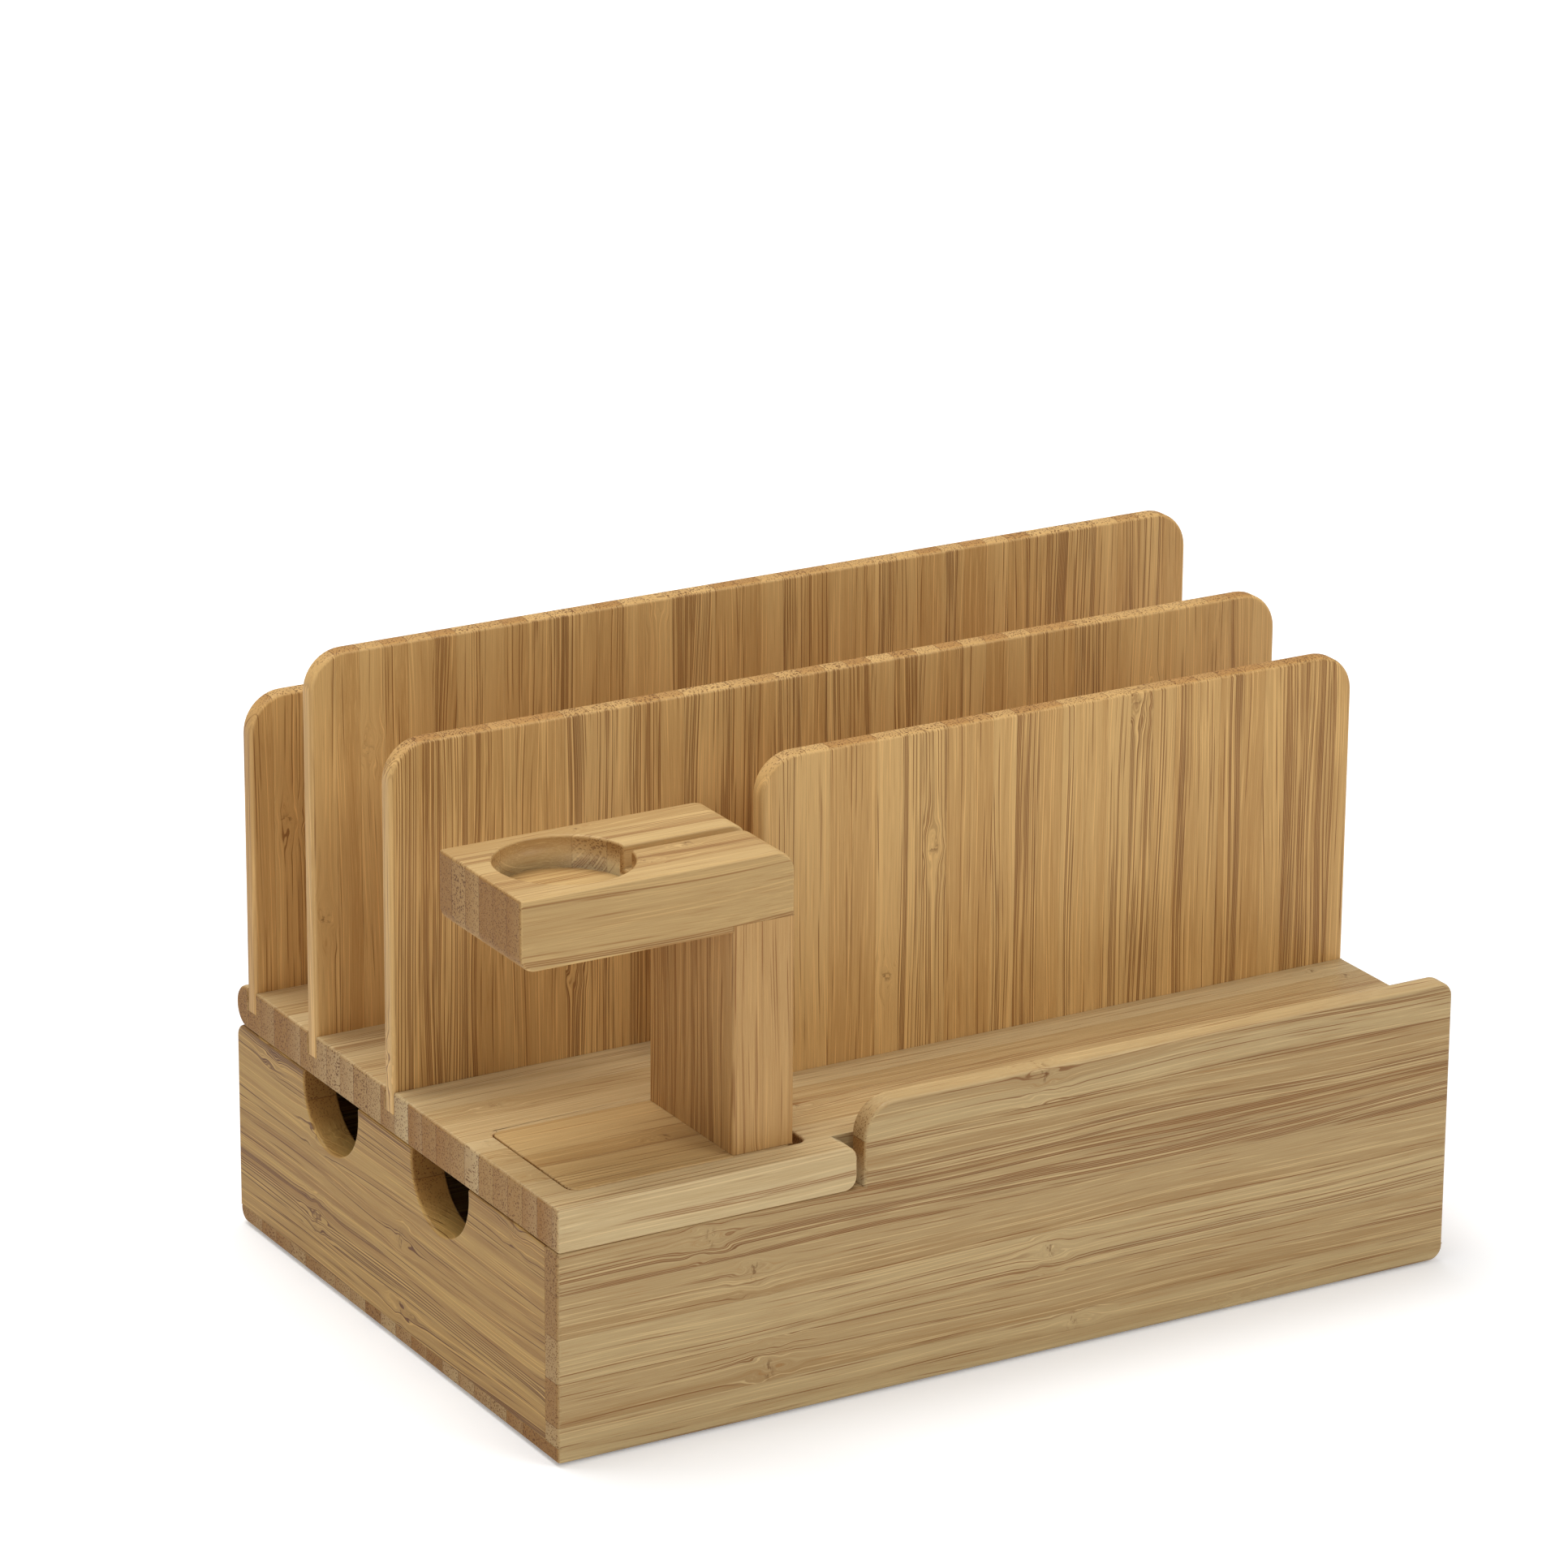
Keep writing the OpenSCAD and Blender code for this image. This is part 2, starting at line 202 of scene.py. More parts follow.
glow = tree.add("ShaderNodeEmission", {}, Color=glow_dimmed_near_dock, Strength=seen_directly(tree) * 0.36)
tree.add("ShaderNodeOutputMaterial", {}, Surface=tree.add("ShaderNodeAddShader", {}, shade, glow))

floor_mesh = bpy.data.meshes.new("floor")
reach = 6.0
floor_mesh.from_pydata([(-reach, -reach, 0), (reach, -reach, 0), (reach, reach, 0), (-reach, reach, 0)], [], [(0, 1, 2, 3)])
floor = bpy.data.objects.new("floor", floor_mesh)
scene.collection.objects.link(floor)
floor_mesh.materials.append(floor_finish)

world = bpy.data.worlds.new("studio")
scene.world = world
world.use_nodes = True
tree = Tree(world.node_tree)
strength = 0.40 + 0.60 * seen_directly(tree)
tree.add("ShaderNodeOutputWorld", {}, Surface=tree.add("ShaderNodeBackground", {}, Color=(1, 1, 1, 1), Strength=strength))

# %% [markdown]
# Wood is lit with large soft lamps, because a small lamp draws hard shadows and bright spots on
# the varnish. The largest one hangs above and a little behind, so the top of the deck is the
# brightest surface. One in front on the right makes the front lighter than the left side, and a
# weak one on the left keeps that side from going dull.

# %% Soft lamps
def softbox(name, watts, place, aim, width, height):
    """A large area lamp at a place, turned towards a point."""
    data = bpy.data.lights.new(name, "AREA")
    data.shape, data.size, data.size_y, data.energy = "RECTANGLE", width, height, watts
    lamp = bpy.data.objects.new(name, data)
    lamp.location = place
    lamp.rotation_euler = (Vector(aim) - Vector(place)).to_track_quat("-Z", "Y").to_euler()
    scene.collection.objects.link(lamp)
    return lamp


middle = (0, 0, 0.06)
softbox("key_softbox", 12, (0.9, -1.5, 1.5), middle, 0.9, 0.9)
softbox("overhead_softbox", 37, (-0.3, 0.5, 2.3), middle, 1.4, 1.4)
softbox("left_fill", 3.5, (-1.5, -1.4, 0.9), middle, 1.0, 1.2)
scene.view_settings.view_transform = "Standard"

# %% [markdown]
# Bamboo isn't sawn from a trunk: the wall of the culm is cut into strips, and the strips are
# glued side by side. Three things make it look like bamboo. Each strip has its own tone. Dark
# bundles of fibre run along it, so a face shows long thin streaks, and an end shows the same
# bundles as dots. And each strip has a knuckle now and then, where the fibres swerve. A solid
# pattern gives all three at once, because it goes on from one face of a board to the next.

# %% Bamboo
AXES = "XYZ"


def bamboo(name, grain, across, strip, light, dark, streak, seed, tone=0.5, dense=0.5, knuckle=200.0, ends=1.0):
    """A finish of bamboo strips: the axis of the grain, the axis across the strips, and a strip's width in mm."""
    material, tree = new_finish(name)
    place = tree.add("ShaderNodeTexCoord", output="Object")
    in_mm = tree.add("ShaderNodeVectorMath", {"operation": "SCALE"}, output="Vector", Vector=place, Scale=1000.0)
    axes = tree.add("ShaderNodeSeparateXYZ", {}, Vector=in_mm)
    through = next(a for a in AXES if a not in (grain, across))
    along, side = axes.out(grain), axes.out(across)
    depth = axes.out(through) + 11.3 * seed

    def at(stretch, fine, where, deep):
        return tree.add("ShaderNodeCombineXYZ", {}, along * stretch, where * fine, deep * fine)

    def noise(stretch, fine, where, deep, detail=2.0, rough=0.5):
        return tree.add("ShaderNodeTexNoise", {}, output="Fac", Vector=at(stretch, fine, where, deep),
                        Scale=1.0, Detail=detail, Roughness=rough)

    def between(value, low, high):
        return tree.add("ShaderNodeMapRange", {"interpolation_type": "SMOOTHSTEP"}, value, low, high, 0.0, 1.0)

    # each strip has its own three chances, and the place across it goes from 0 to 1
    count = side / strip + 0.37 * seed
    number = count.math("FLOOR", count)
    inner = count - number
    chance = tree.add("ShaderNodeTexWhiteNoise", {"noise_dimensions": "2D"}, output="Value",
                      Vector=tree.add("ShaderNodeCombineXYZ", {}, number, seed, 0.0))
    chances = tree.add("ShaderNodeSeparateColor", {}, chance.out("Color"))
    own = side + number * 17.3

    # the knuckle of each strip, where the fibres bow round a heart
    step = along + chance * knuckle
    off = step.math("FLOORED_MODULO", step, knuckle) - 0.5 * knuckle
    swerve = off.math("EXPONENT", off * off * -0.020)
    heart = (inner - 0.5 + 0.5 * (chances.out("Blue") - 0.5)) * strip
    bow = heart / (1.0 + 0.5 * heart * heart) * swerve * 1.2
    wave = (noise(0.17, 0.50, own, depth, 1.0) - 0.5) * swerve * 3.2
    bent = own + (noise(0.010, 0.05, own, depth, 1.0) - 0.5) * 5.0 + wave - bow
    deep = depth + (noise(0.011, 0.08, own, depth + 70.0, 1.0) - 0.5) * 3.0

    # how far the surface is an end of the fibres
    facing = tree.add("ShaderNodeSeparateXYZ", {}, Vector=tree.add("ShaderNodeTexCoord", output="Normal"))
    towards = {a: facing.math("ABSOLUTE", facing.out(a)) for a in AXES}
    end = between(towards[grain], 0.35, 0.85)
    face = 1.0 - end
    flat = end.math("MAXIMUM", end.math("MAXIMUM", towards["X"], towards["Y"]), towards["Z"])
    # where the normal leans off every axis, on eased edges and curved walls: the mask of a painted highlight
    eased = between(flat, 0.98, 0.80)

    # bundles of fibre: long cells, which show as streaks on a face and as dots on an end
    def bundles(stretch, per_mm, wide, narrow):
        cells = tree.add("ShaderNodeTexVoronoi", {"feature": "F1"}, output="Distance",
                         Vector=at(stretch, per_mm, bent, deep), Scale=1.0)
        return between(cells, wide, narrow)

    # strokes: rows of one width, each of which is a dark line, a light line or nothing for a while
    rows = (bent + deep * 0.7) * 3.3
    row = rows.math("FLOOR", rows)
    inside = rows - row - 0.5
    stroke = between(inside.math("ABSOLUTE", inside), 0.48, 0.20) * face
    lot = tree.add("ShaderNodeTexWhiteNoise", {"noise_dimensions": "2D"}, output="Value",
                   Vector=tree.add("ShaderNodeCombineXYZ", {}, row, seed, 0.0))
    spell = tree.add("ShaderNodeTexNoise", {"noise_dimensions": "2D"}, output="Fac", Scale=1.0, Detail=1.0,
                     Vector=tree.add("ShaderNodeCombineXYZ", {}, along * 0.030 + lot * 90.0, row * 3.7, 0.0))
    luck = lot + (spell - 0.5) * 1.3

    coarse = bundles(0.012, 1.15, 0.34, 0.24)
    thin = bundles(0.010, 2.10, 0.38, 0.26)
    crowd = between(noise(0.004, 0.26, bent, deep) + 0.5 * (chances.out("Green") - 0.5), 0.60 - 0.30 * dense, 0.78 - 0.28 * dense)
    band = between(noise(0.003, 0.24, bent, deep + 19.0), 0.46, 0.62)
    dark_line = stroke * between(luck + 0.50 * crowd, 0.90, 1.15)
    light_line = stroke * between(luck, 0.22, 0.00)
    fibre = noise(0.050, 4.5, bent, deep, 4.0, 0.7)

    def mix(amount, a, b):
        return tree.add("ShaderNodeMix", {"data_type": "RGBA"}, output="Result_Color", Factor_Float=amount, A_Color=a, B_Color=b)

    lit = tuple(min(1.0, c * 1.35) for c in light[:3]) + (1.0,)
    warm, line = colour(164, 108, 48), colour(148 - 52 * dense, 94 - 44 * dense, 40 - 22 * dense)
    heartwood = colour(152, 106, 50)
    coarse_strip = between(chances.out("Green"), 0.60, 0.75)
    shade = mix(between(chances.out("Red"), 0.15, 0.85) * (tone + 0.50 * end), light, dark)
    shade = mix(band * face * (0.12 + 0.50 * dense), shade, dark)
    shade = mix(end * ends * (0.15 + 0.65 * chances.out("Blue") + 0.30 * inner), shade, heartwood)
    shade = mix(between(fibre, 0.50, 0.22) * (0.60 - 0.30 * end), shade, lit)
    shade = mix(between(fibre, 0.50, 0.80) * 0.60, shade, warm)
    shade = mix(light_line * (0.45 + 0.30 * dense), shade, lit)
    shade = mix(dark_line * (0.60 + 0.30 * dense), shade, line)
    shade = mix(thin * (face * crowd * 0.28 + end * 0.85), shade, streak)
    shade = mix(coarse * (face * crowd * 0.16 + end * (0.12 + 0.75 * coarse_strip)), shade, streak)
    seam = between(inner.math("MINIMUM", inner, 1.0 - inner) * strip, 0.14, 0.03)
    shade = mix(seam * (0.12 + 0.55 * end), shade, streak)
    ticks = between(noise(1.1, 0.6, side, depth), 0.50, 0.60) * between(heart.math("ABSOLUTE", heart), 0.30 * strip, 0.10 * strip)
    core = off.math("EXPONENT", off * off * -1.2)
    shade = mix(core * ticks * face * 0.6, shade, streak)

    # painted highlight: the eased edges and curved walls are made lighter
    shade = mix(eased * 0.20, shade, lit)
    height = (thin * crowd + coarse + dark_line) * -0.5 + fibre * 0.8 - core * ticks * 0.6 - seam
    relief = tree.add("ShaderNodeBump", {}, Strength=0.4, Distance=0.0001, Height=height)
    gloss = 0.42 + fibre * 0.12 + end * 0.14
    surface = tree.add("ShaderNodeBsdfPrincipled", {}, **{
        "Base Color": shade, "Roughness": gloss, "Normal": relief, "Specular IOR Level": 0.2,
        "Coat Weight": 0.1, "Coat Roughness": 0.25})
    tree.add("ShaderNodeOutputMaterial", {}, Surface=surface)
    return material


# %% [markdown]
# A saw leaves a board with knife-sharp edges, and nobody sells it like that: each edge is eased
# with a small round before the parts are glued, and the round catches the light. An edge that is
# glued flush to a neighbour stays almost sharp, so the joint is a hairline. So the script asks
# of each edge whether another board touches it, and sets the width of its round by the answer.

# %% Ease the edges of a board
def solid_of(name):
    """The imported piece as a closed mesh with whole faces."""
    mesh = bmesh.new()
    mesh.from_mesh(frame["nodes"][name].data)
    bmesh.ops.remove_doubles(mesh, verts=mesh.verts, dist=2e-6)
    bmesh.ops.dissolve_limit(mesh, angle_limit=math.radians(0.5), verts=mesh.verts, edges=mesh.edges)
    return mesh


FASTENERS = ("screws", "dowels", "pads")
surfaces = {}
for name, node in frame["nodes"].items():
    packed = bmesh.new()
    packed.from_mesh(node.data)
    surfaces[name] = BVHTree.FromBMesh(packed)
    packed.free()

GLUED, LOOSE, NEAR = 0.10, 0.45, 0.35


def round_of(name, point, free):
    """The width in mm of the round on an edge whose middle is this point."""
    width = free
    for other, surface in surfaces.items():
        if other != name and surface.find_nearest(point, NEAR / 1000)[0] is not None:
            if other.endswith(FASTENERS):
                return 0.0
            width = min(width, GLUED if body_of[other] == body_of[name] else LOOSE)
    return width


def runs_on(edge, vertex, edges):
    """The edge that goes on smoothly from this one past the vertex, or None."""
    ahead = (vertex.co - edge.other_vert(vertex).co).normalized()
    for other in vertex.link_edges:
        if other is not edge and other in edges:
            if (other.other_vert(vertex).co - vertex.co).normalized().dot(ahead) > math.cos(math.radians(25)):
                return other
    return None


def smooth_runs(edges):
    """Groups of edges that follow each other without a corner."""
    left = set(edges)
    while left:
        start = left.pop()
        run = [start]
        for vertex in start.verts:
            edge, at = start, vertex
            while (after := runs_on(edge, at, left)) is not None:
                left.remove(after)
                run.append(after)
                edge, at = after, after.other_vert(at)
        yield run


def dress(name, finish, free):
    """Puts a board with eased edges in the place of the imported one."""
    mesh = solid_of(name)
    weight = mesh.edges.layers.float.new("bevel_weight_edge")
    widest = max(free, LOOSE)
    sharp = [e for e in mesh.edges if len(e.link_faces) == 2 and e.calc_face_angle_signed(0) > math.radians(40)]
    for run in smooth_runs(sharp):
        widths = [round_of(name, (e.verts[0].co + e.verts[1].co) / 2, free) for e in run]
        width = 0.0 if min(widths) == 0 else max(widths)
        for edge in run:
            edge[weight] = width / widest
    data = bpy.data.meshes.new(name + "_board")
    mesh.to_mesh(data)
    mesh.free()
    board = bpy.data.objects.new(name + "_board", data)
    scene.collection.objects.link(board)
    ease = board.modifiers.new("ease", "BEVEL")
    ease.limit_method, ease.width, ease.segments, ease.use_clamp_overlap = "WEIGHT", widest / 1000, 3, False
    even = board.modifiers.new("even", "WEIGHTED_NORMAL")
    even.keep_sharp = True
    data.shade_smooth()
    finished = bpy.data.meshes.new_from_object(board.evaluated_get(bpy.context.evaluated_depsgraph_get()))
    board.modifiers.clear()
    board.data = finished
    bpy.data.meshes.remove(data)
    finished.name = board.name
    finished.materials.clear()
    finished.materials.append(finish)
    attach(board, body_of[name])
    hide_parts(name)
    low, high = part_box(name)
    out = max(max(low[i] - v.co[i], v.co[i] - high[i]) for v in finished.vertices for i in range(3))
    print(f"{board.name}: {len(sharp)} edges eased, {len(finished.polygons)} faces, {1000 * out:.3f} mm past the packed box")
    return board


# %% [markdown]
# The boards of the box come next. The front has its grain from left to right, and the sides
# have it from front to back, so the end of the front shows as a dark dotted line at the corner.

# %% Boards of the box
PALE, SAND, TAN, STREAK = colour(194, 168, 121), colour(184, 147, 84), colour(148, 106, 54), colour(104, 62, 22)
CREAM, STRAW = colour(206, 181, 135), colour(174, 137, 83)
HONEY, AMBER = colour(218, 177, 114), colour(184, 136, 76)
dress("front_panel", bamboo("bamboo_front", "X", "Z", 9.5, PALE, TAN, STREAK, 3.0, tone=0.3, dense=0.4, ends=0.5), 0.9)
dress("left_side_panel", bamboo("bamboo_left_side", "Y", "Z", 9.5, SAND, TAN, STREAK, 5.0, tone=0.4, dense=1.0, knuckle=110.0, ends=1.5), 0.6)
dress("right_side_panel", bamboo("bamboo_right_side", "Y", "Z", 9.5, SAND, TAN, STREAK, 8.0, tone=0.4, dense=1.0, knuckle=110.0, ends=1.5), 0.6)
dress("back_panel", bamboo("bamboo_back", "X", "Z", 9.5, PALE, TAN, STREAK, 11.0), 0.6)
BROWN = colour(160, 124, 84)
dress("base_board", bamboo("bamboo_base", "X", "Y", 7.0, PALE, TAN, STREAK, 14.0, dense=0.3), 0.9)

# %% [markdown]
# The deck is one thick board glued from narrow strips, and its left end shows each strip as a
# dotted stripe. An image of stripes would do for that one side. The solid pattern does more: each
# stripe of the end sits where its own strip of the top runs out. The two cleats below the deck,
# which keep it in place on the box, are of plainer brown bamboo.

# %% Deck and cleats
dress("deck", bamboo("bamboo_deck", "X", "Y", 6.2, CREAM, STRAW, STREAK, 17.0, dense=0.15), 0.7)
for number, name in enumerate(("front_cleat", "rear_cleat")):
    dress(name, bamboo("bamboo_" + name, "X", "Y", 8.0, TAN, BROWN, STREAK, 20.0 + number), 0.4)

# %% [markdown]
# The dividers stand with their grain upright, so their faces show fine vertical lines, and their
# top edges show the ends of the strips. All four could share one finish, but then each would have
# the same lines at the same place. So each has its own seed, as boards of one batch do: they're
# alike, and no two are the same.

# %% Dividers
for number, name in enumerate(("front_divider", "middle_divider", "rear_divider", "tablet_rest")):
    finish = bamboo("bamboo_" + name, "Z", "X", 5.6, HONEY, AMBER, STREAK, 23.0 + 3 * number, tone=0.45, dense=0.40, knuckle=400.0, ends=0.4)
    dress(name, finish, 0.9)

# %% [markdown]
# The small stand has three boards: a foot that lies flush in the deck, a post with its grain
# upright, and an arm with its grain from left to right. The way the grain runs tells the boards
# apart more than their colour does, so each has a finish turned to its own grain.

# %% Boards of the small stand
dress("watch_foot", bamboo("bamboo_foot", "X", "Y", 6.4, colour(204, 172, 118), colour(172, 132, 78), STREAK, 35.0, dense=0.15), 0.4)
dress("watch_post", bamboo("bamboo_post", "Z", "X", 6.0, colour(196, 154, 98), colour(168, 122, 68), STREAK, 38.0, tone=0.3, dense=0.3, knuckle=300.0), 0.6)
dress("watch_arm", bamboo("bamboo_arm", "X", "Y", 5.8, colour(204, 170, 114), colour(166, 124, 70), STREAK, 41.0, tone=0.5, dense=0.05), 0.7)

# %% [markdown]
# The fasteners repeat, so Geometry Nodes make them: one screw, dowel or pad is turned from a
# short list of rings, as on a lathe, and set on every point of a small mesh that holds the
# places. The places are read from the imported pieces: the lowest point of each screw's axis.

# %% Places of the fasteners
def places_of(name):
    """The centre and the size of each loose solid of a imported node."""
    mesh = bmesh.new()
    mesh.from_mesh(frame["nodes"][name].data)
    bmesh.ops.remove_doubles(mesh, verts=mesh.verts, dist=2e-6)
    left, found = set(mesh.verts), []
    while left:
        queue, island = [left.pop()], []
        while queue:
            vertex = queue.pop()
            island.append(vertex.co.copy())
            for edge in vertex.link_edges:
                other = edge.other_vert(vertex)
                if other in left:
                    left.remove(other)
                    queue.append(other)
        low = Vector([min(c[i] for c in island) for i in range(3)])
        high = Vector([max(c[i] for c in island) for i in range(3)])
        found.append(((low + high) / 2, high - low))
    mesh.free()
    return found


# %% [markdown]
# A lathe gives every ring of a rod its own radius, and the tree does the same to a plain
# cylinder: it moves each ring to the height and radius in the list. Mesh code could do that too,
# but a tree keeps the sizes as inputs, so one tree makes screws of every length.

# %% A tree that turns a piece and sets it on its places
def turned_tree(name, rings, extra=None):
    """A tree with the sizes as inputs: rings lists (height, radius) as functions of the inputs."""
    group = bpy.data.node_groups.new(name, "GeometryNodeTree")
    tree = Tree(group)
    group.interface.new_socket("Places", in_out="INPUT", socket_type="NodeSocketGeometry")
    for size in ("Radius", "Head radius", "Length", "Chamfer"):
        group.interface.new_socket(size, in_out="INPUT", socket_type="NodeSocketFloat")
    group.interface.new_socket("Turn", in_out="INPUT", socket_type="NodeSocketVector")
    group.interface.new_socket("Material", in_out="INPUT", socket_type="NodeSocketMaterial")
    group.interface.new_socket("Pieces", in_out="OUTPUT", socket_type="NodeSocketGeometry")
    given = tree.add("NodeGroupInput")
    sizes = {s: given.out(s) for s in ("Radius", "Head radius", "Length", "Chamfer")}
    profile = rings(sizes)
    blank = tree.add("GeometryNodeMeshCylinder", {"fill_type": "NGON"}, output="Mesh", Vertices=28,
                     **{"Side Segments": len(profile) - 1, "Radius": 1.0, "Depth": float(len(profile) - 1)})
    at = tree.add("ShaderNodeSeparateXYZ", {}, tree.add("GeometryNodeInputPosition"))
    ring = at.out("Z") + 0.5 * (len(profile) - 1)
    ring = ring.math("ROUND", ring)
    height = radius = 0.0
    for number, (rise, reach) in enumerate(profile):
        here = ring.math("COMPARE", ring, float(number), 0.1)
        height, radius = height + here * rise, radius + here * reach
    shaped = tree.add("GeometryNodeSetPosition", {}, Geometry=blank,
                      Position=tree.add("ShaderNodeCombineXYZ", {}, at * radius, at.out("Y") * radius, height))
    if extra:
        shaped = extra(tree, shaped, sizes)
    spread = tree.add("GeometryNodeInstanceOnPoints", {}, Points=given, Instance=shaped,
                      Rotation=tree.add("FunctionNodeEulerToRotation", {}, given.out("Turn")))
    real = tree.add("GeometryNodeRealizeInstances", {}, Geometry=spread)
    done = tree.add("GeometryNodeSetMaterial", {}, Geometry=real, Material=given.out("Material"))
    tree.add("NodeGroupOutput", {}, done)
    return group


def turn_pieces(node, group, finish, slot, **sizes):
    """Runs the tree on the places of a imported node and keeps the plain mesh."""
    holder = bpy.data.meshes.new(node)
    places = sizes.pop("places")
    holder.from_pydata([tuple(p) for p in places], [], [])
    piece = bpy.data.objects.new(node + "_turned", holder)
    scene.collection.objects.link(piece)
    modifier = piece.modifiers.new("turned", "NODES")
    modifier.node_group = group
    named = {item.name: item.identifier for item in group.interface.items_tree if item.in_out == "INPUT"}
    for size, value in {**sizes, "Material": finish}.items():
        modifier[named[size.replace("_", " ")]] = value
    mesh = bpy.data.meshes.new_from_object(piece.evaluated_get(bpy.context.evaluated_depsgraph_get()))
    piece.modifiers.clear()
    piece.data = mesh
    bpy.data.meshes.remove(holder)
    mesh.name = piece.name
    mesh.shade_smooth()
    mesh.set_sharp_from_angle(angle=math.radians(32))
    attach(piece, body_of[node])
    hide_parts(node)
    print(f"{piece.name}: {len(places)} pieces, {len(mesh.polygons)} faces")
    return piece


# %% [markdown]
# Fasteners hardly show on a finished dock, but they're there when it is opened or turned over.
# Zinc-plated steel is a bright metal with a faint grain in its gloss, beech has short dark flecks
# along its grain, and the rubber of the pads is even and dull. Each could be one plain colour,
# but then they would look moulded, so a little noise breaks up the tint and the gloss.

# %% Steel of the screws, beech of the dowels and rubber of the pads
zinc, tree = new_finish("zinc_plated_steel")
place = tree.add("ShaderNodeTexCoord", output="Object")
grains = tree.add("ShaderNodeTexNoise", {}, output="Fac", Vector=place, Scale=900.0, Detail=3.0)
tint = tree.add("ShaderNodeMix", {"data_type": "RGBA"}, output="Result_Color", Factor_Float=grains,
                A_Color=colour(168, 170, 172), B_Color=colour(205, 205, 200))
relief = tree.add("ShaderNodeBump", {}, Strength=0.2, Distance=0.00004, Height=grains)
tree.add("ShaderNodeOutputMaterial", {}, Surface=tree.add("ShaderNodeBsdfPrincipled", {}, **{
    "Base Color": tint, "Metallic": 1.0, "Roughness": 0.26 + grains * 0.2, "Normal": relief}))

rubber, tree = new_finish("soft_rubber")
place = tree.add("ShaderNodeTexCoord", output="Object")
skin = tree.add("ShaderNodeTexNoise", {}, output="Fac", Vector=place, Scale=1400.0, Detail=3.0)
patch = tree.add("ShaderNodeTexNoise", {}, output="Fac", Vector=place, Scale=160.0, Detail=2.0)
tint = tree.add("ShaderNodeMix", {"data_type": "RGBA"}, output="Result_Color", Factor_Float=patch,
                A_Color=colour(214, 212, 205), B_Color=colour(228, 226, 220))
relief = tree.add("ShaderNodeBump", {}, Strength=0.4, Distance=0.00008, Height=skin)
tree.add("ShaderNodeOutputMaterial", {}, Surface=tree.add("ShaderNodeBsdfPrincipled", {}, **{
    "Base Color": tint, "Roughness": 0.6 + skin * 0.2, "Normal": relief}))


def beech(name, grain):
    """Pale wood with short dark flecks along the grain."""
    material, tree = new_finish(name)
    place = tree.add("ShaderNodeTexCoord", output="Object")
    stretch = [40.0 if a == grain else 700.0 for a in AXES]
    drawn = tree.add("ShaderNodeMapping", {}, Vector=place, Scale=stretch)
    lines = tree.add("ShaderNodeTexNoise", {}, output="Fac", Vector=drawn, Scale=1.0, Detail=4.0, Roughness=0.6)
    flecks = tree.add("ShaderNodeTexVoronoi", {"feature": "F1"}, output="Distance", Vector=drawn, Scale=1.6)
    fleck = tree.add("ShaderNodeMapRange", {"interpolation_type": "SMOOTHSTEP"}, flecks, 0.3, 0.1, 0.0, 0.5)
    wood = tree.add("ShaderNodeMix", {"data_type": "RGBA"}, output="Result_Color", Factor_Float=lines,
                    A_Color=colour(222, 197, 158), B_Color=colour(196, 160, 116))
    wood = tree.add("ShaderNodeMix", {"data_type": "RGBA"}, output="Result_Color", Factor_Float=fleck,
                    A_Color=wood, B_Color=colour(150, 104, 66))
    relief = tree.add("ShaderNodeBump", {}, Strength=0.3, Distance=0.00005, Height=lines)
    tree.add("ShaderNodeOutputMaterial", {}, Surface=tree.add("ShaderNodeBsdfPrincipled", {}, **{
        "Base Color": wood, "Roughness": 0.55 + lines * 0.15, "Normal": relief}))
    return material


# %% [markdown]
# A countersunk screw is a cone that runs into a shank, with a cross in its head and a thread wound
# round it. The cone and the shank come from the rings. Two thin wedges cut the cross, and the
# thread is a small triangle swept along a spiral. The heads lie a hair below the board, as a
# careful maker sets them, so that they never rub on what the board rests on.

# %% Screws
def screw_rings(size):
    head = size["Head radius"] - size["Radius"]
    return [(0.0, size["Head radius"]), (head, size["Radius"]), (head + 0.0005, size["Radius"] * 0.78),
            (size["Length"] - 0.003, size["Radius"] * 0.72), (size["Length"], size["Radius"] * 0.2)]


def cross_and_thread(tree, blank, size):
    """A tapered cross in the head, and a thread wound round the shank."""
    wedge = tree.add("GeometryNodeMeshCone", {"fill_type": "NGON"}, output="Mesh", Vertices=4,
                     **{"Radius Top": 0.0009, "Radius Bottom": 0.0019, "Depth": 0.0016})
    for turn in (0.0, math.pi / 2):
        cutter = tree.add("GeometryNodeTransform", {}, Geometry=wedge, Translation=(0, 0, -0.0003),
                          Rotation=(0, 0, turn), Scale=(1, 0.3, 1))
        blank = tree.add("GeometryNodeMeshBoolean", {"operation": "DIFFERENCE", "solver": "EXACT"},
                         output="Mesh", **{"Mesh 1": blank, "Mesh 2": cutter})
    path = tree.add("GeometryNodeCurveSpiral", {}, output="Curve", Resolution=10, Rotations=(size["Length"] - 0.006) / 0.0011,
                    **{"Start Radius": size["Radius"] * 0.8, "End Radius": size["Radius"] * 0.74, "Height": size["Length"] - 0.006})
    ridge = tree.add("GeometryNodeCurvePrimitiveCircle", {"mode": "RADIUS"}, output="Curve", Resolution=3, Radius=size["Radius"] * 0.2)
    wound = tree.add("GeometryNodeCurveToMesh", {}, output="Mesh", Curve=path, **{"Profile Curve": ridge, "Fill Caps": True})
    thread = tree.add("GeometryNodeTransform", {}, Geometry=wound, Translation=(0, 0, 0.0028))
    join = tree.add("GeometryNodeJoinGeometry", {}, Geometry=blank)
    tree.tree.links.new(thread.socket, join.socket.node.inputs[0])
    return join


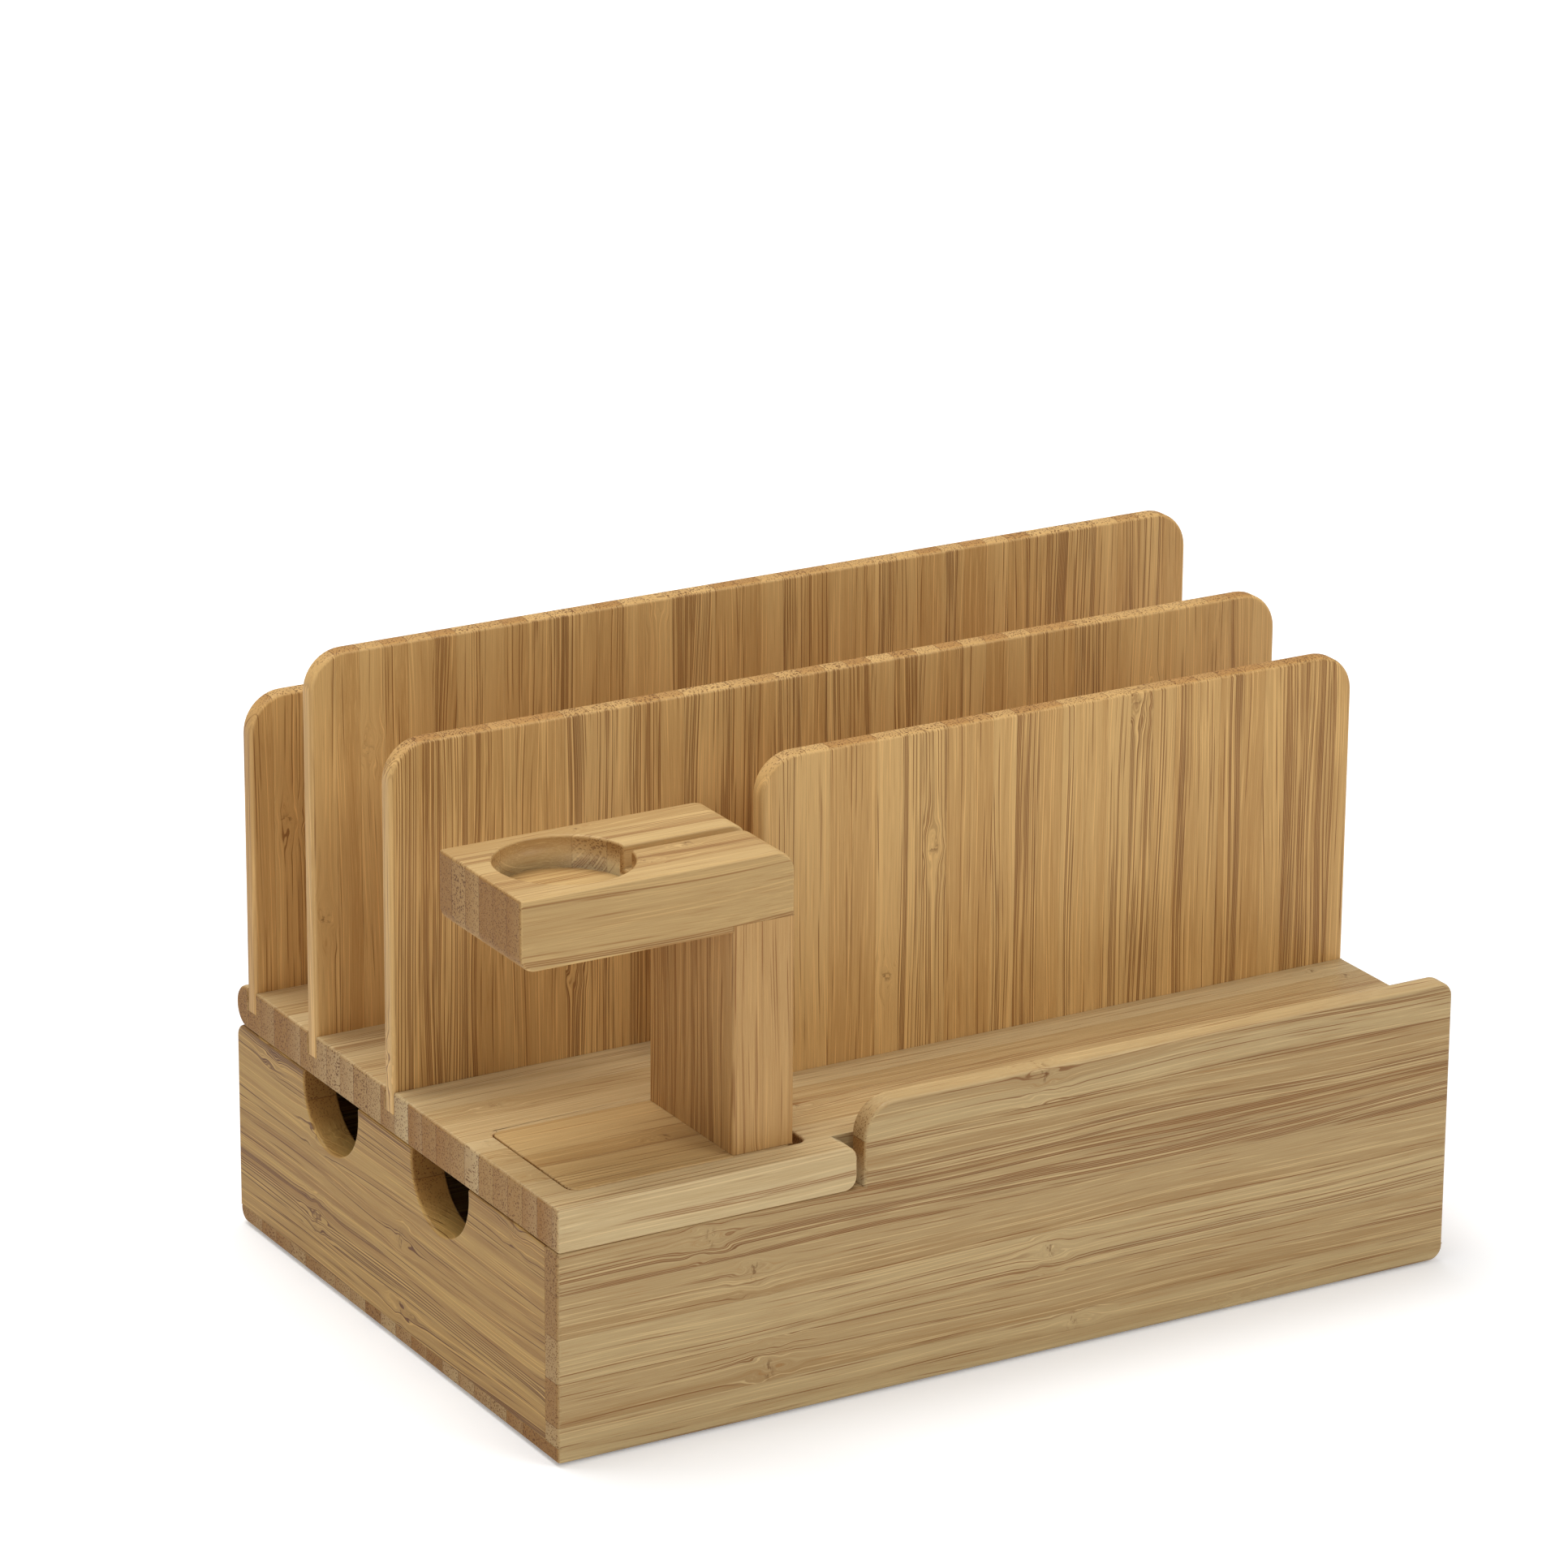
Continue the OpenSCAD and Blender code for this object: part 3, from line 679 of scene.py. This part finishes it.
SUNK = 0.00006
screw_tree = turned_tree("countersunk_screws", screw_rings, cross_and_thread)
for node in ("base_screws", "cleat_screws", "foot_screws"):
    islands = places_of(node)
    size = islands[0][1]
    turn_pieces(node, screw_tree, zinc, "zinc_steel", Radius=0.0014, Head_radius=size.x / 2 - SUNK, Length=size.z - 2 * SUNK,
                places=[centre - Vector((0, 0, size.z / 2 - SUNK)) for centre, size in islands])

# %% [markdown]
# A pad is a low disc of rubber. Its lower edge is eased, because a sharp rim would catch on the
# table and peel off when the dock is pushed. It takes the same tree with another list of rings.

# %% Pads
def pad_rings(size):
    return [(0.0, size["Radius"] - size["Chamfer"] * 2), (size["Chamfer"] * 0.3, size["Radius"] - size["Chamfer"] * 0.6),
            (size["Chamfer"], size["Radius"]), (size["Length"], size["Radius"])]


pad_tree = turned_tree("anti_slip_pads", pad_rings)
islands = places_of("anti_slip_pads")
turn_pieces("anti_slip_pads", pad_tree, rubber, "soft_rubber", Radius=islands[0][1].x / 2, Length=islands[0][1].z, Chamfer=0.0004,
            places=[centre - Vector((0, 0, size.z / 2)) for centre, size in islands])

# %% [markdown]
# A dowel is a short round rod with a chamfer at both ends, which helps it to find its hole. Those
# of the small stand come from the tree. Those between the panels already have their last shape in
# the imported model, so they only take the finish.

# %% Dowels
def dowel_rings(size):
    return [(size["Length"] * -0.5, size["Radius"] - size["Chamfer"]), (size["Length"] * -0.5 + size["Chamfer"], size["Radius"]),
            (size["Length"] * 0.5 - size["Chamfer"], size["Radius"]), (size["Length"] * 0.5, size["Radius"] - size["Chamfer"])]


dowel_tree = turned_tree("dowels", dowel_rings)
dowel_finish = {axis: beech("beech_dowel_" + axis.lower(), axis) for axis in "YZ"}
islands = places_of("arm_dowels")
turn_pieces("arm_dowels", dowel_tree, dowel_finish["Z"], "beech", Radius=islands[0][1].x / 2, Length=islands[0][1].z, Chamfer=0.0005,
            places=[centre for centre, size in islands])
for index in range(len(frame["nodes"]["panel_dowels"].data.materials)):
    frame["nodes"]["panel_dowels"].data.materials[index] = dowel_finish["Y"]
